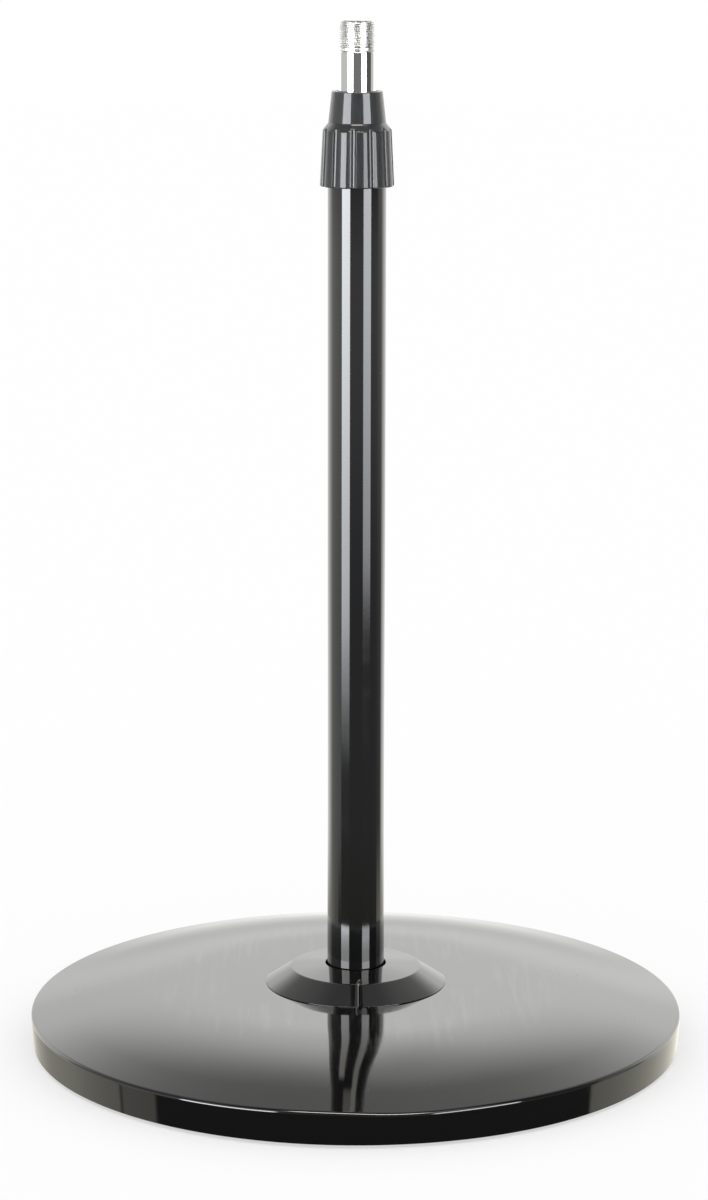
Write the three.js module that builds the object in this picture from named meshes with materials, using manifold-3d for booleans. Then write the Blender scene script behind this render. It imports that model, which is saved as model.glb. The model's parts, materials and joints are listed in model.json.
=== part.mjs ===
// Desktop microphone stand: a weighted round base, a fixed outer tube, and a mast that slides
// and turns inside it and is held by a twist-lock clutch.
// Millimetres, +Z up, origin on the floor under the tube's axis, front towards -Y.

import * as THREE from "three";
import { mergeVertices } from "three/addons/utils/BufferGeometryUtils.js";
import Module from "manifold-3d";

const wasm = await Module();
wasm.setup();

// ---------------------------------------------------------------- driving dimensions

const GAP = 0.3; // clearance left between pieces that touch

// base shell, pressed from sheet steel
const RIM_BOTTOM = 1.5; // height of the skirt's lower edge over the floor
const RIM_RADIUS = 143.5; // at the upper edge of the skirt
const SKIRT_RADIUS = 142.4; // at the lower edge of the skirt
const RIM_TOP = 15.5;
const RIM_EDGE_RADIUS = 1.6;
const DOME_SLOPE = 13.3; // degrees, on the cone next to the rim
const DOME_CONE_RADIUS = 128; // inner end of the cone
const PLATEAU_RADIUS = 65; // outer end of the flat middle
const SHELL_WALL = 1.4;
const SHELL_HOLE = 13;

// ballast, bottom plate and feet
const PLATE_BOTTOM = 2.5;
const PLATE_WALL = 1;
const PLATE_RADIUS = 138.5;
const PLATE_HOLE = 16;
const BALLAST_RADIUS = 131;
const BALLAST_TOP = 13;
const BOSS_RADIUS = 26;
const BOSS_TOP = 24.8;
const RIB_WIDTH = 5;
const RIB_LENGTH = 78;
const RIB_CIRCLE = 65; // at the middle of a rib
const FOOT_COUNT = 6;
const FOOT_CIRCLE = 120;
const FOOT_RADIUS = 9;
const FOOT_STEM_RADIUS = 3.7;
const FOOT_POCKET_RADIUS = 6.5; // in the ballast, over the foot's barbed end
const FOOT_POCKET_TOP = 7.2;
const SCREW_COUNT = 4;
const SCREW_CIRCLE = 70;
const SCREW_RADIUS = 2.3;
const SCREW_HEAD_RADIUS = 4.4;
const SCREW_BOTTOM = 0.5;
const SCREW_TOP = 23.2;
const POST_ACROSS_FLATS = 9;
const POST_DROP = 0.6; // from the underside of the flat middle, as the dome bends down over the posts
const LUG_RADIUS = 8;
const LUG_TOP = 20;

// outer tube and the bolt that holds it to the ballast
const OUTER_RADIUS = 12.5;
const OUTER_WALL = 1.2;
const SOCKET_FLOOR = 15;
const OUTER_TOP = 388;
const WEB_BOTTOM = 12; // roof of the counterbore that takes the bolt's head
const COUNTERBORE_RADIUS = 12.5;
const BOLT_RADIUS = 4.9;
const BOLT_HOLE_RADIUS = 5.4;
const BOLT_ACROSS_FLATS = 16;
const BOLT_HEAD_TOP = 7.3;
const BOLT_TOP = 29;
const PLUG_TOP = 31;
const STOP_PAD_TOP = 33.7;

// collar round the foot of the tube
const COLLAR_RADIUS = 39.7;
const COLLAR_FLAT_RADIUS = 28.5;
const COLLAR_HOLE = 13.3;
const COLLAR_BEVEL_TOP = 33.6;
const COLLAR_TOP = 35.1;
const COLLAR_WALL = 2;
const COLLAR_SEAM = 0.8;
const COLLAR_SEAM_ANGLE = 2; // degrees to the right of the front

// mast
const MAST_RADIUS = 8;
const MAST_WALL = 1;
const MAST_BOTTOM = 34;
const MAST_TOP = 434;
const BEAD_BOTTOM = 52.5;
const BEAD_HEIGHT = 2;
const BEAD_RADIUS = 8.9;
const GROOVE_BOTTOM = 36;
const GROOVE_HEIGHT = 1.6;
const GROOVE_RADIUS = 7.4;
const BUSH_RADIUS = 11;
const STUD_TOP = 447;
const STUD_RADIUS = 7.9; // 5/8 inch thread, crests
const STUD_PLUG_DEPTH = 18; // how far the stud reaches down the mast
const THREAD_DEPTH = 0.55;
const THREAD_PITCH = 0.94; // 27 threads to the inch

// twist-lock clutch
const SLEEVE_BOTTOM = 370;
const SLEEVE_TOP = 398.3;
const SLEEVE_BORE = 8.7;
const SLEEVE_THREAD_RADIUS = 12.4;
const CONE_BOTTOM = 391;
const CONE_MOUTH = 10.7; // radius of the conical seat at the sleeve's top
const COLLET_BOTTOM = 393;
const COLLET_TOP = 400;
const COLLET_SLOTS = 6;
const COLLET_SLOT_HEIGHT = 5.2;
const WASHER_TOP = 401.1;
const WASHER_THICKNESS = 0.8;
const WASHER_RADIUS = 10.6;
const WASHER_POCKET_RADIUS = 11; // in the grip
const GRIP_BOTTOM = 377.5;
const GRIP_BOTTOM_RADIUS = 15.85;
const LOBES_TOP = 401.3;
const LOBES_TOP_RADIUS = 14.65;
const NOSE_BOTTOM = 404.2;
const NOSE_BOTTOM_RADIUS = 12.25;
const NOSE_TOP = 417.4;
const NOSE_TOP_RADIUS = 10.75;
const NOSE_BORE = 8.6;
const GRIP_BORE = 12.9;
const LOBE_COUNT = 12;
const LOBE_RADIUS = 8; // curvature of one lobe, seen from above
const LOBE_ANGLE = 7.5; // degrees to the right of the front, at a lobe's middle

// ---------------------------------------------------------------- materials

const material = (color, roughness, metalness) =>
  new THREE.MeshStandardMaterial({ color, roughness, metalness });

const MATERIALS = {
  paint: () => material(0x0b0c0f, 0.12, 0.0),
  glossPlastic: () => material(0x0d0e10, 0.15, 0.0),
  satinPlastic: () => material(0x2e3133, 0.38, 0.0),
  chrome: () => material(0xd8dadc, 0.08, 1.0),
  steel: () => material(0x9a9c9e, 0.35, 1.0),
  castIron: () => material(0x35363a, 0.75, 0.6),
  rubber: () => material(0x17181a, 0.85, 0.0),
  nylon: () => material(0xd9d6cc, 0.5, 0.0),
};

// ---------------------------------------------------------------- solids

const radians = (degrees) => THREE.MathUtils.degToRad(degrees);

// A mesh with shared corners and no collapsed triangles, ready to be a solid.
function weld(geometry) {
  const bare = geometry.clone();
  for (const name of ["normal", "uv"]) {
    bare.deleteAttribute(name);
  }
  const merged = mergeVertices(bare, 1e-4);
  const index = merged.index.array;
  const kept = [];
  for (let i = 0; i < index.length; i += 3) {
    const [a, b, c] = [index[i], index[i + 1], index[i + 2]];
    if (a !== b && b !== c && c !== a) {
      kept.push(a, b, c);
    }
  }
  merged.setIndex(kept);
  return merged;
}

function toSolid(geometry) {
  const merged = weld(geometry);
  return new wasm.Manifold(
    new wasm.Mesh({
      numProp: 3,
      vertProperties: new Float32Array(merged.attributes.position.array),
      triVerts: new Uint32Array(merged.index.array),
    })
  );
}

function fromSolid(solid) {
  const mesh = solid.getMesh();
  const geometry = new THREE.BufferGeometry();
  geometry.setAttribute("position", new THREE.BufferAttribute(new Float32Array(mesh.vertProperties), 3));
  geometry.setIndex(Array.from(mesh.triVerts));
  geometry.computeVertexNormals();
  return geometry;
}

function cutFrom(geometry, cutters) {
  let solid = toSolid(geometry);
  for (const cutter of cutters) {
    solid = solid.subtract(toSolid(cutter));
  }
  return fromSolid(solid);
}

function joinTo(geometry, additions) {
  let solid = toSolid(geometry);
  for (const addition of additions) {
    solid = solid.add(toSolid(addition));
  }
  return fromSolid(solid);
}

// A turned piece about the Z axis. The outline is a list of [radius, height], followed
// anticlockwise with the radius to the right; it ends on the axis or closes on itself.
function turned(outline, segments = 48) {
  const points = outline.map(([radius, height]) => new THREE.Vector2(radius, height));
  const onAxis = outline[0][0] === 0 && outline[outline.length - 1][0] === 0;
  if (!onAxis) {
    points.push(points[0].clone());
  }
  return new THREE.LatheGeometry(points, segments).rotateX(Math.PI / 2);
}

const disc = (radius, bottom, top, segments = 16) =>
  turned([[0, bottom], [radius, bottom], [radius, top], [0, top]], segments);

const ring = (inner, outer, bottom, top, segments = 36) =>
  turned([[inner, bottom], [outer, bottom], [outer, top], [inner, top]], segments);

function hexagon(acrossFlats, bottom, top) {
  const radius = acrossFlats / Math.sqrt(3);
  const prism = new THREE.CylinderGeometry(radius, radius, top - bottom, 6);
  return prism.rotateX(Math.PI / 2).translate(0, 0, (bottom + top) / 2);
}

function block(width, depth, height, x, y, z) {
  return new THREE.BoxGeometry(width, depth, height).translate(x, y, z);
}

// Points of an arc, angles in degrees anticlockwise from the outward direction.
function arc(centreRadius, centreHeight, radius, from, to, steps) {
  const points = [];
  for (let i = 0; i <= steps; i += 1) {
    const angle = radians(from + ((to - from) * i) / steps);
    points.push([centreRadius + radius * Math.cos(angle), centreHeight + radius * Math.sin(angle)]);
  }
  return points;
}

// Angles, in degrees from the front, of equally spaced places round the axis.
const spaced = (count, start) => Array.from({ length: count }, (_, i) => start + (360 * i) / count);

function roundAxis(geometry, radius, angle) {
  return geometry.clone().translate(0, -radius, 0).rotateZ(radians(angle));
}

// ---------------------------------------------------------------- model

const stand = new THREE.Group();

function addPiece(name, geometry, materialName) {
  const mesh = new THREE.Mesh(weld(geometry), MATERIALS[materialName]());
  mesh.name = name;
  stand.add(mesh);
}

// ---- base shell

// The dome's outer surface from the rim inwards: a cone, an arc that flattens it, a plateau.
const slope = radians(DOME_SLOPE);
const arcRadius = (DOME_CONE_RADIUS - PLATEAU_RADIUS) / Math.sin(slope);
const coneTop = RIM_TOP + Math.tan(slope) * (RIM_RADIUS - DOME_CONE_RADIUS);
const plateauTop = coneTop + arcRadius * (1 - Math.cos(slope));

function domeLine(offset, steps) {
  const shift = offset / Math.cos(slope);
  const rimRadius = RIM_RADIUS - offset;
  const rimHeight = RIM_TOP - shift + Math.tan(slope) * offset;
  const arcHeight = plateauTop - arcRadius;
  const inward = arc(PLATEAU_RADIUS, arcHeight, arcRadius - offset, 90 - DOME_SLOPE, 90, steps);
  return { rimRadius, rimHeight, inward };
}

function baseShell() {
  const outer = domeLine(0, 9);
  const inner = domeLine(SHELL_WALL, 6);
  const edgeRun = RIM_EDGE_RADIUS * Math.tan(radians(90 - DOME_SLOPE) / 2);
  const edgeHeight = outer.rimHeight - edgeRun;
  const edgeCentre = outer.rimRadius - RIM_EDGE_RADIUS;
  const outline = [
    [SKIRT_RADIUS - SHELL_WALL, RIM_BOTTOM],
    [SKIRT_RADIUS, RIM_BOTTOM],
    ...arc(edgeCentre, edgeHeight, RIM_EDGE_RADIUS, 0, 90 - DOME_SLOPE, 3),
    ...outer.inward,
    [SHELL_HOLE, plateauTop],
    [SHELL_HOLE, plateauTop - SHELL_WALL],
    ...inner.inward.reverse(),
    [inner.rimRadius, inner.rimHeight],
  ];
  return turned(outline, 64);
}

addPiece("base_shell", baseShell(), "paint");

// ---- ballast

const ballastBottom = PLATE_BOTTOM + PLATE_WALL + GAP;
const footAngles = spaced(FOOT_COUNT, 30);
const screwAngles = spaced(SCREW_COUNT, 45);

function ballastPlate() {
  const plate = turned([
    [0, ballastBottom],
    [BALLAST_RADIUS - 1, ballastBottom],
    [BALLAST_RADIUS, ballastBottom + 1],
    [BALLAST_RADIUS - 2, BALLAST_TOP],
    [BOSS_RADIUS + 3, BALLAST_TOP],
    [BOSS_RADIUS, BALLAST_TOP + 3],
    [BOSS_RADIUS - 0.8, BOSS_TOP],
    [0, BOSS_TOP],
  ]);
  const sunk = 2; // how far the lugs and ribs reach into the plate
  const lug = disc(LUG_RADIUS, BALLAST_TOP - sunk, LUG_TOP);
  const ribHeight = LUG_TOP - BALLAST_TOP;
  const rib = block(RIB_WIDTH, RIB_LENGTH, ribHeight, 0, 0, BALLAST_TOP + ribHeight / 2 - sunk);
  const additions = [
    ...screwAngles.map((angle) => roundAxis(lug, SCREW_CIRCLE, angle)),
    ...footAngles.map((angle) => roundAxis(rib, RIB_CIRCLE, angle)),
  ];
  const screwHole = disc(SCREW_RADIUS + 2 * GAP, 0, LUG_TOP + 5, 12);
  const footPocket = disc(FOOT_POCKET_RADIUS, 0, FOOT_POCKET_TOP);
  const cutters = [
    disc(OUTER_RADIUS + GAP, SOCKET_FLOOR, BOSS_TOP + 5, 48),
    disc(BOLT_HOLE_RADIUS, 0, SOCKET_FLOOR + 5),
    disc(COUNTERBORE_RADIUS, 0, WEB_BOTTOM, 36),
    ...screwAngles.map((angle) => roundAxis(screwHole, SCREW_CIRCLE, angle)),
    ...footAngles.map((angle) => roundAxis(footPocket, FOOT_CIRCLE, angle)),
  ];
  return cutFrom(joinTo(plate, additions), cutters);
}

addPiece("ballast_plate", ballastPlate(), "castIron");

// ---- bottom plate, feet and screws

const plateTop = PLATE_BOTTOM + PLATE_WALL;

function bottomPlate() {
  const plate = ring(PLATE_HOLE, PLATE_RADIUS, PLATE_BOTTOM, plateTop, 48);
  const footHole = disc(FOOT_STEM_RADIUS + GAP, 0, plateTop + 5);
  const screwHole = disc(SCREW_RADIUS + 0.5, 0, plateTop + 5, 12);
  return cutFrom(plate, [
    ...footAngles.map((angle) => roundAxis(footHole, FOOT_CIRCLE, angle)),
    ...screwAngles.map((angle) => roundAxis(screwHole, SCREW_CIRCLE, angle)),
  ]);
}

addPiece("bottom_plate", bottomPlate(), "steel");

// A pad, a stem through the plate and a barb that holds it there.
const padTop = PLATE_BOTTOM - GAP;
const barbBottom = plateTop + GAP;
const barbTop = barbBottom + 2.4;
const foot = turned(
  [
    [0, 0],
    [FOOT_RADIUS - 0.8, 0],
    [FOOT_RADIUS, 0.6],
    [FOOT_RADIUS - 0.4, padTop],
    [FOOT_STEM_RADIUS, padTop],
    [FOOT_STEM_RADIUS, barbBottom],
    [FOOT_STEM_RADIUS + 1.1, barbBottom + 0.4],
    [FOOT_STEM_RADIUS - 0.5, barbTop],
    [0, barbTop],
  ],
  16
);
footAngles.forEach((angle, i) => {
  addPiece(`foot_${i + 1}`, roundAxis(foot, FOOT_CIRCLE, angle), "rubber");
});

// A pan-head screw from beneath, up into the post that is welded under the shell.
function plateScrew() {
  const headTop = PLATE_BOTTOM - GAP;
  const body = turned(
    [
      [0, SCREW_BOTTOM],
      [SCREW_HEAD_RADIUS - 0.8, SCREW_BOTTOM],
      [SCREW_HEAD_RADIUS, SCREW_BOTTOM + 0.7],
      [SCREW_HEAD_RADIUS, headTop],
      [SCREW_RADIUS, headTop],
      [SCREW_RADIUS, SCREW_TOP - 0.6],
      [SCREW_RADIUS - 0.6, SCREW_TOP],
      [0, SCREW_TOP],
    ],
    12
  );
  const slotLength = 4;
  const slotWidth = 0.9;
  return cutFrom(body, [
    block(slotLength, slotWidth, 2, 0, 0, SCREW_BOTTOM),
    block(slotWidth, slotLength, 2, 0, 0, SCREW_BOTTOM),
  ]);
}

const postTop = plateauTop - SHELL_WALL - POST_DROP;
const postBore = disc(SCREW_RADIUS + 0.35, 0, SCREW_TOP + 0.5);
const shellPost = cutFrom(hexagon(POST_ACROSS_FLATS, LUG_TOP + GAP, postTop), [postBore]);
const screw = plateScrew();
screwAngles.forEach((angle, i) => {
  addPiece(`plate_screw_${i + 1}`, roundAxis(screw, SCREW_CIRCLE, angle), "steel");
  addPiece(`shell_post_${i + 1}`, roundAxis(shellPost, SCREW_CIRCLE, angle), "steel");
});

// ---- outer tube, its plug and its bolt

const tubeBore = OUTER_RADIUS - OUTER_WALL;
const tubeBottom = SOCKET_FLOOR + GAP;
addPiece("outer_tube", ring(tubeBore, OUTER_RADIUS, tubeBottom, OUTER_TOP), "paint");

const plugRadius = tubeBore - GAP;
const plugBlank = disc(plugRadius, tubeBottom, PLUG_TOP, 36);
const plugHole = disc(BOLT_RADIUS + GAP, 0, BOLT_TOP + 2 * GAP);
addPiece("pole_plug", cutFrom(plugBlank, [plugHole]), "steel");
addPiece("stop_pad", disc(plugRadius - 0.2, PLUG_TOP + GAP, STOP_PAD_TOP, 36), "rubber");

const boltShank = turned(
  [
    [0, BOLT_HEAD_TOP - 1],
    [BOLT_RADIUS, BOLT_HEAD_TOP - 1],
    [BOLT_RADIUS, BOLT_TOP - 1],
    [BOLT_RADIUS - 0.9, BOLT_TOP],
    [0, BOLT_TOP],
  ],
  24
);
const boltHead = hexagon(BOLT_ACROSS_FLATS, PLATE_BOTTOM, BOLT_HEAD_TOP);
addPiece("anchor_bolt", joinTo(boltHead, [boltShank]), "steel");

const springRadius = 8.8;
const springBottom = BOLT_HEAD_TOP + GAP;
const springTop = springBottom + 2.2;
const springRing = ring(BOLT_HOLE_RADIUS, springRadius, springBottom, springTop);
const springCut = block(springRadius, 0.9, 10, -springRadius, 0, springTop);
addPiece("spring_washer", cutFrom(springRing, [springCut]), "steel");
addPiece("flat_washer", ring(BOLT_HOLE_RADIUS, 10.5, springTop + GAP, WEB_BOTTOM - GAP), "steel");

// ---- collar: a bevelled ring, split at the front so that it snaps round the tube

function baseCollar() {
  const foot = plateauTop + GAP;
  const body = turned([
    [COLLAR_RADIUS - 4.2, foot],
    [COLLAR_RADIUS - 0.3, foot],
    [COLLAR_RADIUS, foot + 0.4],
    ...arc(COLLAR_FLAT_RADIUS - 0.4, COLLAR_BEVEL_TOP - 1.1, 1.4, 62, 90, 2),
    [COLLAR_HOLE + 0.5, COLLAR_TOP],
    [COLLAR_HOLE, COLLAR_TOP - 0.5],
    [COLLAR_HOLE, foot],
    [COLLAR_HOLE + COLLAR_WALL, foot],
    [COLLAR_HOLE + COLLAR_WALL, COLLAR_TOP - COLLAR_WALL - 0.4],
    [COLLAR_FLAT_RADIUS - 1, COLLAR_BEVEL_TOP - COLLAR_WALL],
  ]);
  const seam = block(COLLAR_SEAM, COLLAR_RADIUS, 20, 0, -COLLAR_RADIUS / 2 - 10, plateauTop + 5);
  return cutFrom(body, [seam.rotateZ(radians(COLLAR_SEAM_ANGLE))]);
}

addPiece("base_collar", baseCollar(), "glossPlastic");

// ---- twist-lock clutch

// Sleeve: a spigot inside the tube, a shoulder on its end, a conical seat in its mouth.
addPiece(
  "clutch_sleeve",
  turned(
    [
      [SLEEVE_BORE, SLEEVE_BOTTOM],
      [plugRadius, SLEEVE_BOTTOM],
      [plugRadius, OUTER_TOP + GAP],
      [SLEEVE_THREAD_RADIUS, OUTER_TOP + GAP],
      [SLEEVE_THREAD_RADIUS, SLEEVE_TOP - 0.6],
      [SLEEVE_THREAD_RADIUS - 0.5, SLEEVE_TOP],
      [CONE_MOUTH, SLEEVE_TOP],
      [SLEEVE_BORE, CONE_BOTTOM],
    ],
    36
  ),
  "nylon"
);

// Collet: a split cone that the grip drives into the seat.
function collet() {
  const taper = (CONE_MOUTH - SLEEVE_BORE) / (SLEEVE_TOP - CONE_BOTTOM);
  const outerRadius = (height) => SLEEVE_BORE + taper * (height - CONE_BOTTOM) - GAP * 1.1;
  const bore = MAST_RADIUS + GAP;
  const body = turned(
    [
      [bore, COLLET_BOTTOM],
      [outerRadius(COLLET_BOTTOM), COLLET_BOTTOM],
      [outerRadius(SLEEVE_TOP), SLEEVE_TOP],
      [outerRadius(SLEEVE_TOP), COLLET_TOP],
      [bore, COLLET_TOP],
    ],
    36
  );
  const slotMiddle = COLLET_BOTTOM + COLLET_SLOT_HEIGHT / 2 - 0.5;
  const slot = block(1, 6, COLLET_SLOT_HEIGHT, 0, 0, slotMiddle);
  return cutFrom(body, spaced(COLLET_SLOTS, 0).map((angle) => roundAxis(slot, 10, angle)));
}

addPiece("collet", collet(), "nylon");

const washerBottom = WASHER_TOP - WASHER_THICKNESS;
addPiece("thrust_washer", ring(MAST_RADIUS + 0.5, WASHER_RADIUS, washerBottom, WASHER_TOP), "steel");

// Grip: a lobed skirt over the tube's end and a tapered nose round the mast.
function clutchGrip() {
  const steps = 4;
  const segments = LOBE_COUNT * steps;
  const outline = [
    [GRIP_BORE, GRIP_BOTTOM],
    [GRIP_BOTTOM_RADIUS - 0.5, GRIP_BOTTOM],
    [GRIP_BOTTOM_RADIUS, GRIP_BOTTOM + 0.6],
    [LOBES_TOP_RADIUS + 0.1, LOBES_TOP - 1.6],
    [LOBES_TOP_RADIUS - 0.6, LOBES_TOP],
    [NOSE_BOTTOM_RADIUS + 0.5, NOSE_BOTTOM - 0.8],
    [NOSE_BOTTOM_RADIUS, NOSE_BOTTOM],
    [NOSE_TOP_RADIUS + 0.1, NOSE_TOP - 0.5],
    [NOSE_TOP_RADIUS - 0.4, NOSE_TOP],
    [NOSE_BORE, NOSE_TOP],
    [NOSE_BORE, WASHER_TOP + GAP],
    [WASHER_POCKET_RADIUS, WASHER_TOP + GAP],
    [WASHER_POCKET_RADIUS, WASHER_TOP - 0.4],
    [GRIP_BORE, WASHER_TOP - 1.7],
  ];
  const geometry = turned(outline, segments);
  const position = geometry.attributes.position;
  const halfPitch = Math.PI / LOBE_COUNT;
  for (let i = 0; i < position.count; i += 1) {
    const [x, y, z] = [position.getX(i), position.getY(i), position.getZ(i)];
    const radius = Math.hypot(x, y);
    if (radius > GRIP_BORE + 0.8 && z < LOBES_TOP - 0.5) {
      const turn = Math.atan2(x, -y) - radians(LOBE_ANGLE);
      const fromLobe = turn - 2 * halfPitch * Math.round(turn / (2 * halfPitch));
      const along = (radius - LOBE_RADIUS) * Math.cos(fromLobe);
      const across = (radius - LOBE_RADIUS) * Math.sin(fromLobe);
      const lobe = along + Math.sqrt(LOBE_RADIUS ** 2 - across ** 2);
      position.setXY(i, (x * lobe) / radius, (y * lobe) / radius);
    }
  }
  return geometry;
}

addPiece("clutch_grip", clutchGrip(), "satinPlastic");

// ---- mast

const mastBore = MAST_RADIUS - MAST_WALL;
addPiece(
  "inner_tube",
  turned(
    [
      [mastBore, MAST_BOTTOM],
      [MAST_RADIUS, MAST_BOTTOM],
      [MAST_RADIUS, GROOVE_BOTTOM],
      [GROOVE_RADIUS, GROOVE_BOTTOM],
      [GROOVE_RADIUS, GROOVE_BOTTOM + GROOVE_HEIGHT],
      [MAST_RADIUS, GROOVE_BOTTOM + GROOVE_HEIGHT],
      [MAST_RADIUS, BEAD_BOTTOM],
      [BEAD_RADIUS, BEAD_BOTTOM + 0.5],
      [BEAD_RADIUS, BEAD_BOTTOM + BEAD_HEIGHT - 0.5],
      [MAST_RADIUS, BEAD_BOTTOM + BEAD_HEIGHT],
      [MAST_RADIUS, MAST_TOP - 0.3],
      [MAST_RADIUS - 0.3, MAST_TOP],
      [mastBore, MAST_TOP],
    ],
    36
  ),
  "chrome"
);

const clipBottom = GROOVE_BOTTOM + GAP;
const clipTop = GROOVE_BOTTOM + GROOVE_HEIGHT - GAP;
const clipRadius = 9.6;
const clipRing = ring(GROOVE_RADIUS + GAP, clipRadius, clipBottom, clipTop);
const clipMouth = block(clipRadius, 4, 10, clipRadius, 0, clipTop);
addPiece("circlip", cutFrom(clipRing, [clipMouth]), "steel");

const bushBottom = GROOVE_BOTTOM + GROOVE_HEIGHT + GAP;
addPiece("guide_bush", ring(MAST_RADIUS + GAP, BUSH_RADIUS, bushBottom, BEAD_BOTTOM - GAP), "nylon");

// Stud: a plug in the mast's end, a flange on its rim and a thread, drawn as plain grooves.
function threadInsert() {
  const plugBottom = MAST_TOP - STUD_PLUG_DEPTH;
  const flangeBottom = MAST_TOP + GAP;
  const threadBottom = flangeBottom + 2.6;
  const crests = Math.floor((STUD_TOP - 0.8 - threadBottom) / THREAD_PITCH);
  const thread = [];
  for (let i = 0; i < crests; i += 1) {
    const height = threadBottom + i * THREAD_PITCH;
    thread.push([STUD_RADIUS - THREAD_DEPTH, height], [STUD_RADIUS, height + THREAD_PITCH / 2]);
  }
  return turned(
    [
      [0, plugBottom],
      [mastBore - 0.8, plugBottom],
      [mastBore - GAP, plugBottom + 1],
      [mastBore - GAP, flangeBottom],
      [STUD_RADIUS, flangeBottom],
      [STUD_RADIUS, flangeBottom + 1.4],
      [STUD_RADIUS - 0.9, flangeBottom + 1.7],
      ...thread,
      [STUD_RADIUS - THREAD_DEPTH, threadBottom + crests * THREAD_PITCH],
      [STUD_RADIUS - 1, STUD_TOP],
      [0, STUD_TOP],
    ],
    24
  );
}

addPiece("thread_insert", threadInsert(), "steel");

export default stand;
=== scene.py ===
"""Looks of the desktop microphone stand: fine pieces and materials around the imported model."""

import json
import math

import bpy
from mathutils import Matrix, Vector


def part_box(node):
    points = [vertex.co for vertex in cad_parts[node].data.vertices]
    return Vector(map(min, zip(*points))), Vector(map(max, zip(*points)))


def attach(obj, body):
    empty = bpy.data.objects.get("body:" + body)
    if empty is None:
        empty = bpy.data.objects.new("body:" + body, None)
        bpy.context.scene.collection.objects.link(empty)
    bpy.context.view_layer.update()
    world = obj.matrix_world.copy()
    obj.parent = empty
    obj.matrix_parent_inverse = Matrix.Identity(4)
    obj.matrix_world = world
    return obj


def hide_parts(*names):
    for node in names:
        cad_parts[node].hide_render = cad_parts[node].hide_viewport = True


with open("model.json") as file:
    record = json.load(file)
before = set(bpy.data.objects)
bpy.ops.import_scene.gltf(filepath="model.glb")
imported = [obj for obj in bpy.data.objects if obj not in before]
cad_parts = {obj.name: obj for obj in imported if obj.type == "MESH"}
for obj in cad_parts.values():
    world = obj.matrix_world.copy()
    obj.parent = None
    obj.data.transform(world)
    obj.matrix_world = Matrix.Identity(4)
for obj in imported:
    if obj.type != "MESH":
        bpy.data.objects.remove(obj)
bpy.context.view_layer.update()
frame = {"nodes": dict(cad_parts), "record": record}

MM = 0.001


# ---------------------------------------------------------------- camera

CAMERA_DISTANCE = 1.555
CAMERA_HEIGHT = 0.519
CAMERA_ASIDE = -0.001
CAMERA_PITCH = 11.65  # degrees below the horizon
CAMERA_ROLL = 0.1
CAMERA_LENS = 109.9  # millimetres, on a 36 mm sensor


def make_camera():
    data = bpy.data.cameras.new("camera")
    data.lens = CAMERA_LENS
    data.sensor_width = 36
    camera = bpy.data.objects.new("camera", data)
    camera.location = (CAMERA_ASIDE, -CAMERA_DISTANCE, CAMERA_HEIGHT)
    camera.rotation_euler = (math.radians(90 - CAMERA_PITCH), 0, 0)
    camera.rotation_euler.rotate_axis("Z", math.radians(CAMERA_ROLL))
    bpy.context.collection.objects.link(camera)
    bpy.context.scene.camera = camera


make_camera()
bpy.context.scene.view_settings.view_transform = "Standard"


# ---------------------------------------------------------------- node helpers


class Graph:
    """A short way to build shader nodes: inputs are sockets or plain values."""

    def __init__(self, tree):
        self.tree = tree
        tree.nodes.clear()

    def node(self, kind, inputs=None, **settings):
        made = self.tree.nodes.new(kind)
        for name, value in settings.items():
            setattr(made, name, value)
        for key, value in (inputs or {}).items():
            self.feed(made.inputs[key], value)
        return made

    def feed(self, socket, value):
        if isinstance(value, bpy.types.NodeSocket):
            self.tree.links.new(value, socket)
        else:
            socket.default_value = value

    def math(self, operation, first, second=0.0):
        return self.node("ShaderNodeMath", {0: first, 1: second}, operation=operation).outputs[0]

    def rise(self, value, start, end, low=0.0, high=1.0):
        """A smooth step from low to high as value goes from start to end."""
        inputs = {"Value": value, "From Min": start, "From Max": end, "To Min": low, "To Max": high}
        return self.node("ShaderNodeMapRange", inputs, interpolation_type="SMOOTHSTEP").outputs["Result"]

    def window(self, value, start, end, soft):
        """1 between start and end, 0 outside, with soft edges."""
        up = self.rise(value, start - soft, start + soft)
        down = self.rise(value, end - soft, end + soft, 1.0, 0.0)
        return self.product(up, down)

    def total(self, first, *others):
        """All of them added up."""
        for other in others:
            first = self.math("ADD", first, other)
        return first

    def product(self, first, *others):
        """All of them multiplied."""
        for other in others:
            first = self.math("MULTIPLY", first, other)
        return first

    def tint(self, colour, factor):
        """A colour times a number."""
        made = self.node("ShaderNodeVectorMath", {0: colour, "Scale": factor}, operation="SCALE")
        return made.outputs[0]

    def blend(self, factor, first, second):
        made = self.node("ShaderNodeMix", data_type="RGBA")
        colour_inputs = [s for s in made.inputs if s.type == "RGBA"]
        self.feed(made.inputs["Factor"], factor)
        self.feed(colour_inputs[0], first)
        self.feed(colour_inputs[1], second)
        return next(s for s in made.outputs if s.type == "RGBA")

    def noise(self, vector, scale, detail=2.0, roughness=0.5):
        inputs = {"Vector": vector, "Scale": scale, "Detail": detail, "Roughness": roughness}
        return self.node("ShaderNodeTexNoise", inputs).outputs["Fac"]

    def stretched(self, vector, scale, turn=(0, 0, 0)):
        """The coordinates turned, then scaled apart along each axis."""
        inputs = {"Vector": vector, "Rotation": turn, "Scale": scale}
        return self.node("ShaderNodeMapping", inputs, vector_type="POINT").outputs[0]

    def bump(self, height, distance, normal=None):
        inputs = {"Height": height, "Distance": distance, "Strength": 1.0}
        if normal is not None:
            inputs["Normal"] = normal
        return self.node("ShaderNodeBump", inputs).outputs["Normal"]


# ---------------------------------------------------------------- studio

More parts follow.
